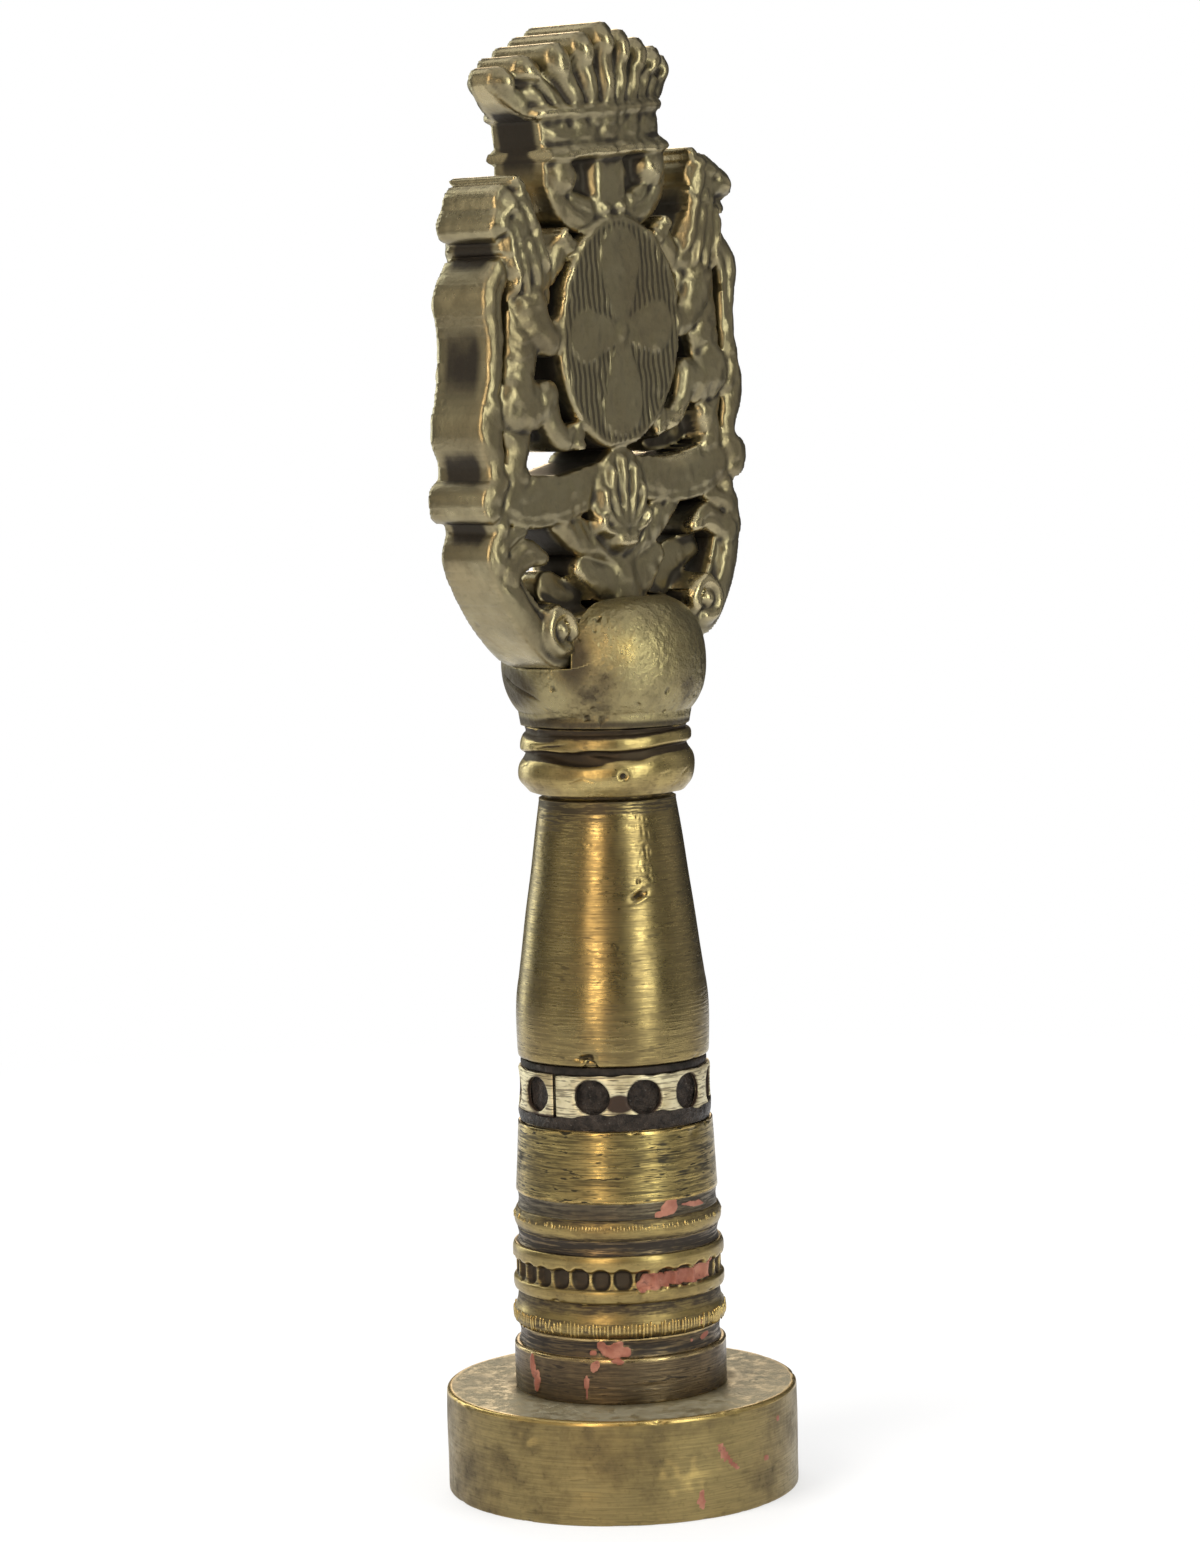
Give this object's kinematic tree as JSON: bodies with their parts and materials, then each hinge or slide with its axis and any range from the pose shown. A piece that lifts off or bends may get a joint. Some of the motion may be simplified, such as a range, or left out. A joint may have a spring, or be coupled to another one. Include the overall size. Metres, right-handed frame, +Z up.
{
  "type": "wax seal stamp",
  "caption": "Aged brass wax seal stamp: engraved round die, turned rings on a stud, and a screw-on tapered handle with a slotted knob and a cast crown-and-lions finial.",
  "frame": {"origin": "middle of the engraved face of the die, on the stamp's axis", "axes": "+Z up along the axis, away from the engraved face; X across the finial, whose front faces -Y"},
  "size_m": [0.028, 0.024, 0.0992],
  "materials": {
    "die_brass": "aged satin, olive, worn bright at the edges",
    "stud_brass": "cut thread, satin",
    "dark_brass": "dark brown patina, satin",
    "ring_brass": "worn bright on the beads, dark in the grooves",
    "grey_brass": "dusty grey patina",
    "band_brass": "brushed round the axis, patchy patina",
    "pale_strip": "pale, scratched, tarnished between the holes",
    "core_pitch": "dark rough setting compound, like sealing pitch",
    "washer_leather": "dark, pressed hard",
    "handle_brass": "satin with fine turning lines",
    "collar_brass": "hand filed, golden on the beads",
    "pin_iron": "dark, filed flush",
    "knob_brass": "cast and filed, pitted, mottled",
    "cast_brass": "cast, dark in the hollows, worn bright on the high places"
  },
  "bodies": {
    "base": {"seal_die": "die_brass", "tie_stud": "stud_brass", "base_collar": "dark_brass", "lower_neck_ring": "dark_brass", "lower_milled_ring": "ring_brass", "scalloped_ring": "ring_brass", "spacer_ring": "dark_brass", "upper_milled_ring": "ring_brass", "upper_neck_ring": "grey_brass", "plain_band": "band_brass", "joint_ring": "dark_brass", "band_core": "core_pitch", "pierced_band": "pale_strip"},
    "washer": {"seat_washer": "washer_leather"},
    "grip": {"handle": "handle_brass", "neck_collar": "collar_brass", "neck_pin": "pin_iron", "knob": "knob_brass", "finial": "cast_brass"}
  },
  "joints": [
    {"name": "handle_turn", "type": "hinge", "parent": "base", "child": "washer", "pos_m": [0, 0, 0.02905], "axis": [0, 0, 1], "range_deg": [0, 2250]},
    {"name": "handle_rise", "type": "slide", "parent": "washer", "child": "grip", "axis": [0, 0, 1], "range_m": [0, 0.00781]}
  ],
  "couplings": [
    {"joint": "handle_turn", "follows": "handle_rise", "rad_per_m": 5026.5}
  ]
}
